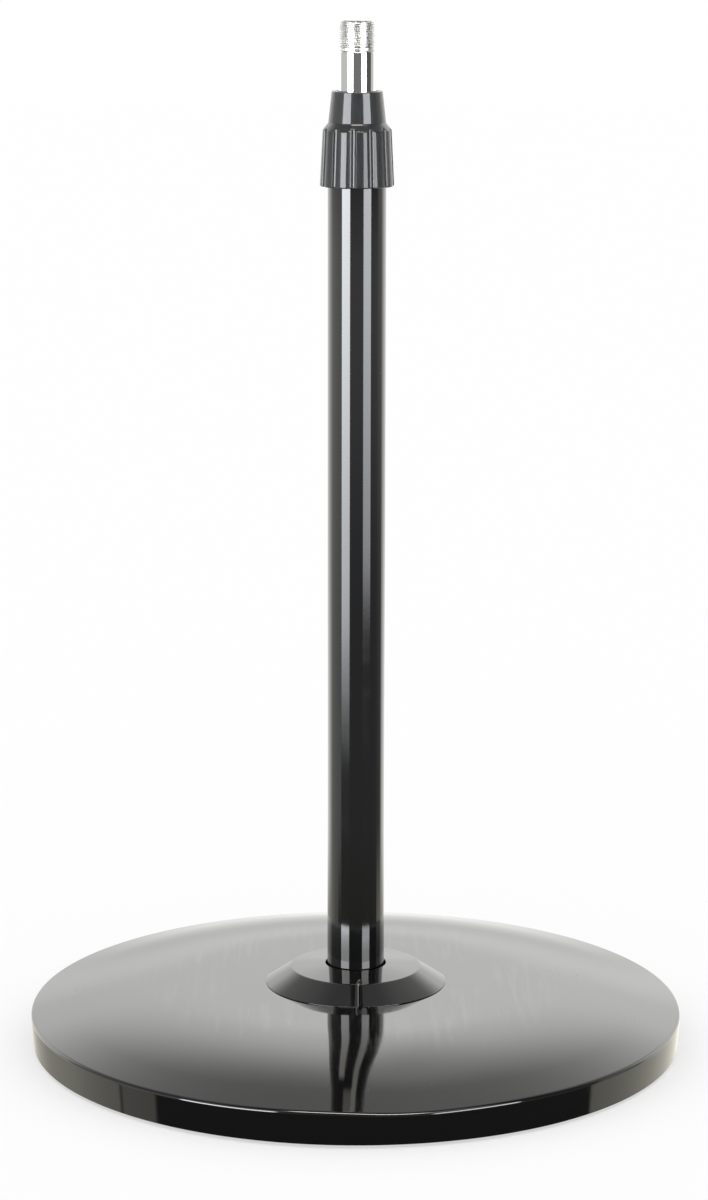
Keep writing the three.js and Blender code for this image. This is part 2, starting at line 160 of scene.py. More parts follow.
# directions are in degrees, to the right of the camera's side and above the horizon
WALL_SOFT = 3  # to either side of a wall's upright edges, where it fades
BOX_SOFT = 1.2  # the same for a softbox
BOX_DIMMED = 0.08  # share of its light that a softbox keeps high up, in a first reflection
BAR_LEVEL = 22.0  # brightness of the bar above the camera
MATT_LIGHT = (1.06, 1.06, 1.06, 1.0)  # what matt surfaces see
WHITE = (1.0, 1.0, 1.0, 1.0)


def front_walls(g, side, height):
    """The walls in front and to the sides, each a stretch of directions."""

    def wall(start, end, low, middle, high):
        """From start to end, as bright as low near the floor, middle above that, then high."""
        lower = g.rise(height, -12, -7, low, middle)
        upper = g.rise(height, -6.5, -4.5, 0.0, high - middle)
        return g.product(g.window(side, start, end, WALL_SOFT), g.total(lower, upper))

    return g.total(
        wall(-120, -62, 1.35, 1.6, 0.95),
        wall(-62, 57, 0.34, 0.75, 0.3),
        wall(57, 92, 0.32, 0.7, 0.16),
        wall(92, 120, 0.4, 0.9, 1.0),
    )


def backdrop(g, x, away, height):
    """A bright backdrop behind the stand, brighter higher up and towards its sides."""
    level = g.total(
        g.rise(height, -14, -10, 1.5, 1.25),
        g.rise(height, 2, 14, 0.0, 0.79),
        g.rise(height, 14, 22, 0.0, 0.42),
    )
    level = g.product(g.rise(away, 112, 126), level)
    # the right half is a little brighter than the left
    level = g.product(level, g.rise(x, -0.25, 0.25, 0.95, 1.04))
    aside = g.math("ABSOLUTE", x)
    level = g.product(level, g.rise(aside, 0.36, 0.62, 1.0, 1.4))
    low_aside = g.product(g.rise(aside, 0.1, 0.28), g.rise(height, 2, 12, 0.32, 0.0))
    return g.product(level, g.total(low_aside, 1.0))


def softboxes(g, side, height, ray_depth):
    """Two tall softboxes, and a bar for the line of light along the base's edge."""
    left = g.product(g.window(side, -61, -27, BOX_SOFT), g.window(height, -13.0, 41, 1.5))
    left = g.product(left, g.rise(height, -15, -2, 7, 21))
    right = g.product(g.window(side, 26, 57, BOX_SOFT), g.window(height, -11.6, 66, 0.9))
    right_level = g.total(g.rise(height, -13, -2, 4.5, 13), g.rise(height, -2, 8, 0, 6))
    right = g.product(right, right_level)
    # higher than the grip's sloping nose needs, their full light shows only in a second
    # reflection, as of the tube in the base, so that the base stays black from behind
    again = g.rise(ray_depth, 2.4, 2.6)
    dimmed = g.math("MAXIMUM", g.rise(height, 9, 15, 1.0, BOX_DIMMED), again)
    level = g.product(g.total(left, right), dimmed)
    bar = g.product(g.window(side, -30, 30, 3), g.window(height, 46, 60, 2), BAR_LEVEL)
    # cool below and warm above
    colour = g.blend(g.rise(height, 5, 50), (0.97, 1.0, 1.04, 1), (1.06, 1.0, 0.9, 1))
    return g.tint(colour, g.total(level, bar))


def low_room(g, x, side, away, height):
    """The low part of the room: dark in front, pale and warm to the sides and behind."""
    far_left = g.product(g.rise(x, -0.4, 0.4, 1.0, 0.0), g.rise(away, 115, 145, 1.1, 0.66))
    far_right = g.product(g.rise(x, -0.4, 0.4), g.rise(away, 94, 150, 1.1, 1.25))
    sides = g.product(g.rise(away, 92, 94), g.total(far_left, far_right))
    left = g.product(g.window(side, -92, -76, 1), 0.8)
    middle = g.rise(height, -26, -17, 0.05, 0.24)
    return g.tint((1.0, 0.97, 0.84), g.total(sides, left, middle))


def make_world():
    """White to the camera, even light to matt surfaces. Mirror-like surfaces see a studio: two
    tall softboxes left and right of the camera with a dark middle between them, a bar of light
    above it, a bright backdrop behind, a dim ceiling and a pale table."""
    world = bpy.data.worlds.new("studio")
    world.use_nodes = True
    world.cycles.sampling_method = "NONE"
    bpy.context.scene.world = world
    g = Graph(world.node_tree)
    direction = g.node("ShaderNodeTexCoord").outputs["Generated"]
    rays = g.node("ShaderNodeLightPath").outputs
    x, y, z = g.node("ShaderNodeSeparateXYZ", {0: direction}).outputs
    side = g.product(g.math("ARCTAN2", x, g.product(y, -1.0)), math.degrees(1))
    height = g.product(g.math("ARCSINE", z), math.degrees(1))
    away = g.math("ABSOLUTE", side)

    walls = g.total(front_walls(g, side, height), backdrop(g, x, away, height))
    # the light falls off upwards, and sooner to the sides
    sideways = g.math("MINIMUM", g.math("ABSOLUTE", x), 0.3)
    fall = g.total(height, g.product(sideways, 30.0))
    fade = g.product(g.rise(fall, 28, 50, 1.0, 0.36), g.rise(height, 57, 75, 1.0, 0.6))
    walls = g.tint((0.99, 1.0, 0.965), g.product(walls, fade))
    boxes = softboxes(g, side, height, rays["Ray Depth"])
    upper = g.node("ShaderNodeVectorMath", {0: walls, 1: boxes}, operation="ADD").outputs[0]
    room = g.blend(g.rise(height, -17, -15), low_room(g, x, side, away, height), upper)

    colour = g.blend(rays["Is Diffuse Ray"], room, MATT_LIGHT)
    colour = g.blend(rays["Is Camera Ray"], colour, WHITE)
    background = g.node("ShaderNodeBackground", {"Color": colour, "Strength": 1.0})
    g.node("ShaderNodeOutputWorld", {"Surface": background.outputs[0]})


FLOOR_REACH = 6.0  # metres from the stand to the floor's edges
FLOOR_GLOW = 0.55  # share of the floor's light that is its own


def make_floor():
    """Pale paper, lit from below too like a light table, which softens the contact shadow."""
    reach = FLOOR_REACH
    mesh = bpy.data.meshes.new("floor")
    corners = [(-reach, -reach, 0), (reach, -reach, 0), (reach, reach, 0), (-reach, reach, 0)]
    mesh.from_pydata(corners, [], [(0, 1, 2, 3)])
    floor = bpy.data.objects.new("floor", mesh)
    bpy.context.collection.objects.link(floor)
    material = bpy.data.materials.new("pale_floor")
    material.use_nodes = True
    g = Graph(material.node_tree)
    paper = g.node("ShaderNodeBsdfDiffuse", {"Color": (0.93, 0.93, 0.93, 1)})
    glow = g.node("ShaderNodeEmission", {"Color": WHITE, "Strength": 1.0})
    shader = g.node("ShaderNodeMixShader", {0: FLOOR_GLOW, 1: paper.outputs[0], 2: glow.outputs[0]})
    g.node("ShaderNodeOutputMaterial", {"Surface": shader.outputs[0]})
    mesh.materials.append(material)
    floor.visible_glossy = False


make_world()
make_floor()


# ---------------------------------------------------------------- materials


def new_material(name):
    material = bpy.data.materials.new(name)
    material.use_nodes = True
    g = Graph(material.node_tree)
    place = g.node("ShaderNodeTexCoord").outputs["Object"]
    return material, g, place


def finish_material(g, shader_inputs):
    shader = g.node("ShaderNodeBsdfPrincipled", shader_inputs)
    g.node("ShaderNodeOutputMaterial", {"Surface": shader.outputs[0]})


def specks(g, place, scale, size, share):
    """A few small round specks: 1 on a speck, 0 elsewhere."""
    cells = g.node("ShaderNodeTexVoronoi", {"Vector": place, "Scale": scale, "Randomness": 1.0})
    near = g.rise(cells.outputs["Distance"], size * 0.6, size, 1.0, 0.0)
    pick = g.node("ShaderNodeSeparateColor", {"Color": cells.outputs["Color"]}).outputs[0]
    return g.product(near, g.math("GREATER_THAN", pick, 1 - share))


def scratches(g, place, turn, along, across, width):
    """Thin, short marks that run one way."""
    lines = g.noise(g.stretched(place, (across, along, across), (0, 0, math.radians(turn))), 1.0, 1.0)
    fine = g.math("ABSOLUTE", g.math("SUBTRACT", lines, 0.5))
    line = g.rise(fine, 0.0, width, 1.0, 0.0)
    where = g.rise(g.noise(place, 22.0, 2.0), 0.62, 0.7)
    return g.product(line, where)


def gloss_paint(name, colour, waves):
    """Stoved black paint: deep gloss, slight orange peel, wiping marks, a little dust, and pale streaks
    round the collar that are painted sheen. Its slow waves are that many metres high."""
    material, g, place = new_material(name)
    peel = g.noise(place, 620.0, 1.5)
    sag = g.noise(place, 26.0, 1.0)
    wipe = g.noise(g.stretched(place, (420, 9, 60)), 1.0, 2.0)
    long_marks = scratches(g, place, 14, 12, 700, 0.012)
    cross_marks = scratches(g, place, 98, 14, 600, 0.01)
    marks = g.math("MAXIMUM", long_marks, cross_marks)
    dust = specks(g, place, 190.0, 0.045, 0.05)
    # streaks on the flat of the base, round the collar: bumped and rougher, and painted paler, a painted
    # sheen that brightens the flat there
    from_axis = g.node("ShaderNodeVectorMath", {0: g.stretched(place, (1, 1, 0))}, operation="LENGTH")
    round_collar = g.window(from_axis.outputs["Value"], 0.045, 0.09, 0.014)
    painted_sheen_streak = g.rise(g.noise(g.stretched(place, (420, 22, 330), (0, 0, 0.1)), 1.0, 3.0), 0.47, 0.7)
    painted_sheen_streak = g.product(painted_sheen_streak, g.rise(g.noise(place, 24.0, 2.0), 0.38, 0.58))
    painted_sheen_streak = g.product(painted_sheen_streak, round_collar)
    smudge = g.rise(g.noise(place, 34.0, 4.0, 0.62), 0.45, 0.8)
    normal = g.bump(sag, waves)
    normal = g.bump(peel, 1.3e-6, normal)
    normal = g.bump(wipe, 1.4e-6, normal)
    normal = g.bump(g.product(marks, -1.0), 3e-6, normal)
    normal = g.bump(painted_sheen_streak, 3e-6, normal)
    rough = g.total(
        0.045,
        g.product(smudge, 0.05),
        g.product(marks, 0.2),
        g.product(painted_sheen_streak, 0.07),
        g.product(dust, 0.5),
    )
    # the paler colour on the streaks is painted sheen; the paler colour on the specks is real dust
    dust_and_painted_sheen = g.math("MAXIMUM", g.product(dust, 0.5), g.product(painted_sheen_streak, 0.16))
    tint = g.blend(dust_and_painted_sheen, (*colour, 1), (0.24, 0.23, 0.21, 1))
    finish_material(g, {"Base Color": tint, "Roughness": rough, "Normal": normal, "IOR": 1.5})
    return material


def satin_plastic(name, colour):
    """Moulded grip plastic: a hazy grey sheen under a thin glossy skin, with rubbed high spots."""
    material, g, place = new_material(name)
    grain = g.noise(place, 2600.0, 2.0)
    flow = g.noise(g.stretched(place, (60, 60, 220)), 1.0, 3.0)
    rub = g.rise(g.noise(place, 160.0, 4.0, 0.6), 0.5, 0.75)
    rough = g.total(0.5, g.product(rub, -0.08), g.product(flow, 0.06))
    tint = g.blend(g.product(flow, 0.5), (*colour, 1), tuple(1.4 * c for c in colour) + (1,))
    normal = g.bump(grain, 0.2e-6)
    normal = g.bump(flow, 1.2e-6, normal)
    inputs = {"Base Color": tint, "Roughness": rough, "Normal": normal, "IOR": 1.25}
    inputs.update({"Coat Weight": 0.47, "Coat Roughness": 0.035, "Coat IOR": 1.5, "Coat Normal": normal})
    finish_material(g, inputs)
    return material


def chrome(name):
    """Bright plate over a drawn tube: lines along it, faint rubbed rings from the clutch."""
    material, g, place = new_material(name)
    drawn = g.noise(g.stretched(place, (900, 900, 7)), 1.0, 2.0)
    rings = g.noise(g.stretched(place, (3, 3, 900)), 1.0, 3.0)
    worn = g.product(g.rise(rings, 0.6, 0.7), g.rise(g.noise(place, 60.0, 3.0), 0.5, 0.7))
    pits = specks(g, place, 420.0, 0.05, 0.05)
    rough = g.total(0.035, g.product(worn, 0.12), g.product(pits, 0.4))
    tint = g.blend(pits, (0.52, 0.525, 0.52, 1), (0.12, 0.11, 0.1, 1))
    normal = g.bump(drawn, 0.4e-6)
    normal = g.bump(worn, -0.3e-6, normal)
    inputs = {"Base Color": tint, "Metallic": 1.0, "Roughness": rough, "Normal": normal}
    finish_material(g, inputs)
    return material


def zinc_steel(name):
    """Zinc-plated steel: fine turning lines, cloudy passivation, darker stains."""
    material, g, place = new_material(name)
    turning = g.noise(g.stretched(place, (30, 30, 2600)), 1.0, 2.0)
    cloud = g.noise(place, 240.0, 4.0, 0.6)
    stain = g.rise(g.noise(place, 70.0, 5.0, 0.65), 0.52, 0.75)
    tint = g.blend(cloud, (0.42, 0.42, 0.41, 1), (0.6, 0.6, 0.61, 1))
    tint = g.blend(g.product(stain, 0.5), tint, (0.3, 0.27, 0.21, 1))
    rough = g.total(0.24, g.product(cloud, 0.16), g.product(stain, 0.15))
    normal = g.bump(turning, 2.5e-6)
    normal = g.bump(cloud, 4e-6, normal)
    inputs = {"Base Color": tint, "Metallic": 1.0, "Roughness": rough, "Normal": normal}
    finish_material(g, inputs)
    return material


def cast_iron(name):
    """A rough sand casting under thin black paint, with rust where it is worn through."""
    material, g, place = new_material(name)
    sand = g.noise(place, 900.0, 5.0, 0.7)
    lumps = g.noise(place, 120.0, 3.0)
    rust = g.rise(g.noise(place, 46.0, 6.0, 0.7), 0.58, 0.72)
    tint = g.blend(sand, (0.03, 0.03, 0.032, 1), (0.065, 0.063, 0.06, 1))
    tint = g.blend(g.product(rust, 0.7), tint, (0.16, 0.065, 0.03, 1))
    normal = g.bump(lumps, 6e-5)
    normal = g.bump(sand, 4e-5, normal)
    inputs = {"Base Color": tint, "Metallic": 0.15, "Normal": normal}
    inputs["Roughness"] = g.total(0.62, g.product(rust, 0.25))
    finish_material(g, inputs)
    return material


def rubber(name):
    """Moulded rubber: matt, with a fine tooth and pale scuffs."""
    material, g, place = new_material(name)
    tooth = g.noise(place, 3200.0, 3.0)
    scuff = g.rise(g.noise(place, 300.0, 5.0, 0.65), 0.55, 0.72)
    tint = g.blend(g.product(scuff, 0.45), (0.016, 0.016, 0.017, 1), (0.09, 0.088, 0.085, 1))
    normal = g.bump(tooth, 8e-6)
    inputs = {"Base Color": tint, "Normal": normal}
    inputs["Roughness"] = g.total(0.68, g.product(scuff, 0.2))
    finish_material(g, inputs)
    return material


def nylon(name):
    """Natural nylon: slightly waxy, with flow lines and a hint of light inside."""
    material, g, place = new_material(name)
    flow = g.noise(g.stretched(place, (70, 70, 240)), 1.0, 3.0)
    grain = g.noise(place, 2200.0, 2.0)
    tint = g.blend(flow, (0.66, 0.63, 0.56, 1), (0.76, 0.74, 0.67, 1))
    normal = g.bump(grain, 2.5e-6)
    inputs = {"Base Color": tint, "Normal": normal}
    inputs["Roughness"] = g.total(0.36, g.product(flow, 0.14))
    inputs["Subsurface Weight"] = 0.08
    inputs["Subsurface Radius"] = (0.0012, 0.001, 0.0008)
    finish_material(g, inputs)
    return material


BLACK = (0.0055, 0.0056, 0.006)
MATERIALS = {
    "gloss_black_paint": gloss_paint("gloss_black_paint", BLACK, 9e-6),
    "gloss_black_plastic": gloss_paint("gloss_black_plastic", (0.007, 0.007, 0.0075), 5e-6),
    "satin_black_plastic": satin_plastic("satin_black_plastic", (0.02, 0.0215, 0.0225)),
    "chrome": chrome("chrome"),
    "steel": zinc_steel("steel"),
    "cast_iron": cast_iron("cast_iron"),
    "rubber": rubber("rubber"),
    "nylon": nylon("nylon"),
}


# ---------------------------------------------------------------- mesh helpers

GAP = 0.3  # clearance that the CAD model leaves between pieces that touch


def rounded(corners, closed=True, steps=6, longest=9.0):
    """An outline with round corners. Each corner is (radius, height, fillet), in millimetres.
    Short support spans stand beside each fillet, and long spans are divided."""
    points = []
    count = len(corners)
    for i, (r, z, fillet) in enumerate(corners):
        here = Vector((r, z))
        at_end = not closed and i in (0, count - 1)
        if at_end or fillet <= 0:
            points.append(here)
            continue
        before = Vector(corners[i - 1][:2]) - here
        after = Vector(corners[(i + 1) % count][:2]) - here
        half = before.angle(after) / 2
        run = min(fillet / math.tan(half), 0.47 * before.length, 0.47 * after.length)
        radius = run * math.tan(half)
        inward = (before.normalized() + after.normalized()).normalized()
        centre = here + inward * (radius / math.sin(half))
        first = here + before.normalized() * run - centre
        last = here + after.normalized() * run - centre
        sweep = first.angle_signed(last)
        support = min(0.15, 0.04 * min(before.length, after.length))
        points.append(here + before.normalized() * (run + support))
        for k in range(steps + 1):
            angle = -sweep * k / steps
            turn = Vector((math.cos(angle), math.sin(angle)))
            points.append(
                centre
                + Vector((first.x * turn.x - first.y * turn.y, first.x * turn.y + first.y * turn.x))
            )
        points.append(here + after.normalized() * (run + support))
    return divided(points, closed, longest)


def divided(points, closed, longest):
    """The points, with more between those that are further apart than longest."""
    result = []
    last = len(points) if closed else len(points) - 1
    for i in range(last):
        start, end = points[i], points[(i + 1) % len(points)]
        parts = max(1, math.ceil((end - start).length / longest))
        result += [start.lerp(end, k / parts) for k in range(parts)]
    if not closed:
        result.append(points[-1])
    return result


def arc(centre, radius, start, end, steps):
    """Points of an arc, angles in degrees anticlockwise from the outward direction."""
    angles = [math.radians(start + (end - start) * k / steps) for k in range(steps + 1)]
    return [(centre[0] + radius * math.cos(a), centre[1] + radius * math.sin(a)) for a in angles]


def steps_between(start, end, count):
    """Evenly spaced values after start, up to end."""
    return [start + (end - start) * k / count for k in range(1, count + 1)]


def add_object(name, vertices, faces, node, body, slot, sharp=35):
    """A smooth mesh piece that stands for a CAD node and rides on its body."""
    mesh = bpy.data.meshes.new(name)
    mesh.from_pydata([tuple(c * MM for c in v) for v in vertices], [], faces)
    mesh.validate()
    mesh.polygons.foreach_set("use_smooth", [True] * len(mesh.polygons))
    mesh.set_sharp_from_angle(angle=math.radians(sharp))
    mesh.materials.append(MATERIALS[slot])
    piece = bpy.data.objects.new(name, mesh)
    bpy.context.collection.objects.link(piece)
    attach(piece, body)
    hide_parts(node)
    return piece


def wall_faces(rows, count, spans):
    """Faces between rows of count points each. With as many spans as rows, the last row joins
    the first one."""
    faces = []
    for j in range(spans):
        low, high = j * count, (j + 1) % rows * count
        for k in range(count):
            n = (k + 1) % count
            faces.append((low + k, low + n, high + n, high + k))
    return faces


def revolve(outline, segments, shape=None):
    """Vertices and faces of a turned solid. The outline closes on itself, or starts and ends
    on the axis. shape(radius, height, angle) may change each point's radius."""
    on_axis = outline[0][0] < 1e-6 and outline[-1][0] < 1e-6
    rows = outline[1:-1] if on_axis else outline
    vertices = []
    for r, z in rows:
        for k in range(segments):
            angle = 2 * math.pi * k / segments
            radius = shape(r, z, angle) if shape else r
            vertices.append((radius * math.sin(angle), -radius * math.cos(angle), z))
    spans = len(rows) - 1 if on_axis else len(rows)
    faces = wall_faces(len(rows), segments, spans)
    if on_axis:
        bottom, top = len(vertices), len(vertices) + 1
        vertices += [(0, 0, outline[0][1]), (0, 0, outline[-1][1])]
        last = (len(rows) - 1) * segments
        for k in range(segments):
            n = (k + 1) % segments
            faces.append((bottom, n, k))
            faces.append((top, last + k, last + n))
    return vertices, faces


def turned(name, corners, node, body, slot, segments, steps, longest=9.0):
    """A turned piece with a closed outline, given as corners for rounded()."""
    outline = [tuple(p) for p in rounded(corners, True, steps, longest)]
    vertices, faces = revolve(outline, segments)
    return add_object(name, vertices, faces, node, body, slot)


def smooth_step(value, start, end):
    """0 up to start, 1 from end on, and an even curve between."""
    share = min(1.0, max(0.0, (value - start) / (end - start)))
    return share * share * (3 - 2 * share)


def smooth_least(first, second, soft):
    """The smaller of two numbers, blended where they are close."""
    mix = min(1.0, max(0.0, 0.5 + 0.5 * (second - first) / soft))
    return second * (1 - mix) + first * mix - soft * mix * (1 - mix)


def box_mm(node):
    """Lowest and highest corners of a CAD node, in millimetres."""
    low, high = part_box(node)
    return Vector(low) / MM, Vector(high) / MM


# ---------------------------------------------------------------- base shell

RIM_TOP_DROP = 11.01  # from the flat middle down to the rim's upper edge
DOME_SLOPE = 13.3  # degrees, on the cone next to the rim
DOME_CONE_RADIUS = 128.0  # inner end of the cone
SHELL_WALL = 1.4
SHELL_HOLE = 13.0
SKIRT_TAPER = 1.1  # the skirt is that much narrower at its foot
RIM_EDGE = 1.5
FLAT_ROWS = (50.0, 35.0, 22.0)  # radii of the rows of points on the flat middle
WAVE_TILT = 0.032  # sideways slope of the pressing at the front
WAVE_REACH = 30.0  # how far to the sides the slope goes
WAVE_CROWN = 0.0008  # its crown there: one over twice the crown's radius
CROWN_REACH = 25.0  # how far to the sides the crown goes
WAVE_START, WAVE_FULL = 76.0, 116.0  # radii between which the wave grows
WAVE_HEIGHTS = (4.0, 14.0)  # heights between which it grows, as the skirt stays true


def pressing_wave(x, y, z):
    """How far the pressed dome lies over or under a true round one at the front."""
    if y > 0:
        return 0.0
    share = smooth_step(math.hypot(x, y), WAVE_START, WAVE_FULL) * smooth_step(z, *WAVE_HEIGHTS)
    tilt = WAVE_TILT * x * math.exp(-((x / WAVE_REACH) ** 2))
    crown = WAVE_CROWN * x * x * math.exp(-((x / CROWN_REACH) ** 2))
    return -(tilt + crown) * share


def base_shell():
    """A pressed cover: skirt, rounded rim, cone, and a bend into the flat middle."""
    low, high = box_mm("base_shell")
    rim, top = high.x, high.z
    slope = math.radians(DOME_SLOPE)
    cone_drop = math.tan(slope) * (rim - DOME_CONE_RADIUS)
    plateau_drop = RIM_TOP_DROP - cone_drop
    bend = plateau_drop / (1 - math.cos(slope))
    plateau = DOME_CONE_RADIUS - bend * math.sin(slope)
    edge = top - RIM_TOP_DROP
    wall = SHELL_WALL

    def dome(offset):
        return arc((plateau, top - bend), bend - offset, 90 - DOME_SLOPE, 90, 36)

    skirt = rim - SKIRT_TAPER
    outer = rounded(
        [(skirt, low.z, 0), (rim, edge, RIM_EDGE), (*dome(0)[0], 0)],
        closed=False,
        steps=14,
        longest=4.0,
    )[:-1]
    inner_rim = (rim - wall, edge - wall / math.cos(slope) + math.tan(slope) * wall)
    inner = rounded(
        [(*dome(wall)[0], 0), (*inner_rim, 1.2), (skirt - wall, low.z, 0)], closed=False
    )[1:]
    middle = [Vector((radius, top)) for radius in (*FLAT_ROWS, SHELL_HOLE + 0.3)]
    hole = [Vector((SHELL_HOLE, top - 0.3)), Vector((SHELL_HOLE, top - wall))]
    lip = [Vector((skirt - wall * 0.75, low.z)), Vector((skirt - wall * 0.25, low.z))]
    outline = [Vector(p) for p in outer]
    outline += [Vector(p) for p in dome(0)] + middle + hole
    outline += [Vector(p) for p in reversed(dome(wall))] + inner + lip
    vertices, faces = revolve([tuple(p) for p in outline], 288)
    vertices = [(x, y, z + pressing_wave(x, y, z)) for x, y, z in vertices]
    add_object("base_shell_skin", vertices, faces, "base_shell", "root", "gloss_black_paint", 50)


base_shell()


# ---------------------------------------------------------------- collar

COLLAR_FLAT = 28.5
COLLAR_HOLE = 13.3
COLLAR_BEVEL_DROP = 1.5  # from the top of the hole to the start of the bevel
COLLAR_WALL = 2.0
COLLAR_GAP = 0.03  # to the base shell
SEAM_ASIDE = 2.1  # millimetres right of the front, middle of the seam
SEAM_HALF = 0.05
SEAM_STEP = 0.15  # how far the right half's end sits under the left half's
SEAM_STEP_ANGLE = 24.0  # degrees over which that fades
SEAM_CLEAR = 14  # degrees from the front to the first section through the axis
SWING_STEPS = 7
SEAM_LEFT = (1.0, 1.25, 0.0)  # depth and length of a half's eased end, and 0 straight to 1 round
SEAM_RIGHT = (0.15, 0.15, 1.0)
SEAM_FROM, SEAM_FULL = 26.2, 28.4  # radii between which the seam opens; inside them it is closed


def collar_outline():
    """The ring's section, as points with a radius and a height."""
    high = box_mm("base_collar")[1]
    rim, top = high.x, high.z
    foot = box_mm("base_shell")[1].z + COLLAR_GAP
    bevel_top = top - COLLAR_BEVEL_DROP
    return rounded(
        [
            (rim - 4.2, foot, 0.2),
            (rim, foot, 0.12),
            (rim, foot + 0.3, 0.2),
            (COLLAR_FLAT, bevel_top, 2.2),
            (COLLAR_HOLE, top, 0.4),
            (COLLAR_HOLE, foot, 0.2),
            (COLLAR_HOLE + COLLAR_WALL, foot, 0.2),
            (COLLAR_HOLE + COLLAR_WALL, top - COLLAR_WALL - 0.4, 0.5),
            (COLLAR_FLAT - 1, bevel_top - COLLAR_WALL, 0.6),
        ],
        longest=3.0,
    )


def radial_section(points, angle):
    """The outline, turned round the axis."""
    turn = math.radians(angle)
    return [(p.x * math.sin(turn), -p.x * math.cos(turn), p.y) for p in points]


def seam_section(points, aside, swing=0.0, angle=0.0):
    """The outline on the same turned surface, but parallel to the seam, and swung from
    there towards the radial section at that angle by a share of 0 to 1."""
    across = math.sin(math.radians(angle))
    section = []
    for p in points:
        x = aside * (1 - swing) + p.x * across * swing
        section.append((x, -math.sqrt(p.x**2 - x**2), p.y))
    return section


def step_at(angle):
    """How far the right half lies under the left one."""
    return SEAM_STEP * (1 - smooth_step(angle, 0, SEAM_STEP_ANGLE))


def eased_end(depth, length, curve, steps=7):
    """How far the outline shrinks, and the distance from the end, from the end inwards."""
    for k in range(steps + 1):
        share = k / steps
        angle = math.pi / 2 * share
        shrink = curve * (1 - math.sin(angle)) + (1 - curve) * (1 - share)
        along = curve * (1 - math.cos(angle)) + (1 - curve) * share
        yield depth * shrink, length * along


def base_collar():
    """A bevelled ring, split in front: a thin gap, with its right half a touch lower."""
    outline = collar_outline()
    count = len(outline)
    outward = []
    for i in range(count):
        along = (outline[(i + 1) % count] - outline[i - 1]).normalized()
        outward.append(Vector((along.y, -along.x)))

    def inset(depth):
        """The outline shrunk by that depth on the bevel, and hardly at all on the flat."""
        shares = [smooth_step(p.x, SEAM_FROM, SEAM_FULL) for p in outline]
        return [p - n * depth * share for p, n, share in zip(outline, outward, shares)]

    # from the seam's right side round to its left side
    right_end = SEAM_ASIDE + SEAM_HALF
    left_end = SEAM_ASIDE - SEAM_HALF
    sections = []
    for shrink, along in eased_end(*SEAM_RIGHT):
        sections.append(seam_section(inset(shrink + SEAM_STEP), right_end + along))
    for k in range(1, SWING_STEPS + 1):
        swing = k / SWING_STEPS
        points = inset(step_at(SEAM_CLEAR * swing))
        sections.append(seam_section(points, right_end + SEAM_RIGHT[1], swing, SEAM_CLEAR))
    for angle in range(SEAM_CLEAR + 2, 359 - SEAM_CLEAR, 2):
        sections.append(radial_section(inset(step_at(angle)), angle))
    for k in range(SWING_STEPS, 0, -1):
        swing = k / SWING_STEPS
        sections.append(seam_section(inset(0), left_end - SEAM_LEFT[1], swing, -SEAM_CLEAR))
    for shrink, along in reversed(list(eased_end(*SEAM_LEFT))):
        sections.append(seam_section(inset(shrink), left_end - along))

    vertices = [vertex for section in sections for vertex in section]
    faces = []
    for s in range(len(sections) - 1):
        near, far = s * count, (s + 1) * count
        for i in range(count):
            n = (i + 1) % count
            faces.append((near + i, far + i, far + n, near + n))
    last = len(vertices) - count
    faces.append(tuple(range(count)))
    faces.append(tuple(reversed(range(last, last + count))))
    add_object("collar_ring", vertices, faces, "base_collar", "root", "gloss_black_plastic", 40)


base_collar()


# ---------------------------------------------------------------- tubes

OUTER_WALL = 1.2
MAST_RADIUS = 8.0
MAST_WALL = 1.0
MAST_GROOVE_RADIUS = 7.4  # floor of the circlip's groove
BEAD_HEIGHT = 2.0  # of the bead that is rolled into the mast over its bush


def outer_tube():
    """The fixed pole, with its edges broken."""
    low, high = box_mm("outer_tube")
    corners = [
        (high.x - OUTER_WALL, low.z, 0.3),
        (high.x, low.z, 0.3),
        (high.x, high.z, 0.4),
        (high.x - OUTER_WALL, high.z, 0.3),
    ]
    turned("pole", corners, "outer_tube", "root", "gloss_black_paint", 128, steps=4)


def inner_tube():
    """The mast, with a groove for the circlip and a rolled bead over the bush."""
    low, high = box_mm("inner_tube")
    clip_low, clip_high = box_mm("circlip")
    groove_low, groove_high = clip_low.z - GAP, clip_high.z + GAP
    bead_low = box_mm("guide_bush")[1].z + GAP
    bead_middle = bead_low + BEAD_HEIGHT / 2
    radius, bore, bead = MAST_RADIUS, MAST_RADIUS - MAST_WALL, high.x
    corners = [
        (bore, low.z, 0.25),
        (radius, low.z, 0.3),
        (radius, groove_low, 0.05),
        (MAST_GROOVE_RADIUS, groove_low, 0.1),
        (MAST_GROOVE_RADIUS, groove_high, 0.1),
        (radius, groove_high, 0.05),
        (radius, bead_low, 0.4),
        (bead, bead_middle - 0.3, 0.5),
        (bead, bead_middle + 0.3, 0.5),
        (radius, bead_low + BEAD_HEIGHT, 0.4),
        (radius, high.z, 0.35),
        (bore, high.z, 0.2),
    ]
    turned("mast_tube", corners, "inner_tube", "mast", "chrome", 128, steps=5)


outer_tube()
inner_tube()


# ---------------------------------------------------------------- stud with a real thread

PITCH = 25.4 / 27
THREAD_DEPTH = 0.52
ROWS_PER_PITCH = 14
FLANGE_HEIGHT = 1.4
NECK_DEPTH = 0.9  # of the plain neck between the flange and the thread
THREAD_START = 2.3  # above the flange's underside
THREAD_END = 0.75  # below the stud's top
TIP_BEVEL = 0.85


def thread_depth_at(height, angle, start, end):
    """Depth of a right-hand thread's groove, fading out at both ends."""
    phase = (height / PITCH - angle / (2 * math.pi)) % 1.0
    flank = abs(phase - 0.5) * 2
    groove = min(1.0, max(0.0, (0.86 - flank) / 0.62))
    fade = min(1.0, (height - start) / 0.7, (end - height) / 0.4)
    return THREAD_DEPTH * groove * max(0.0, fade)


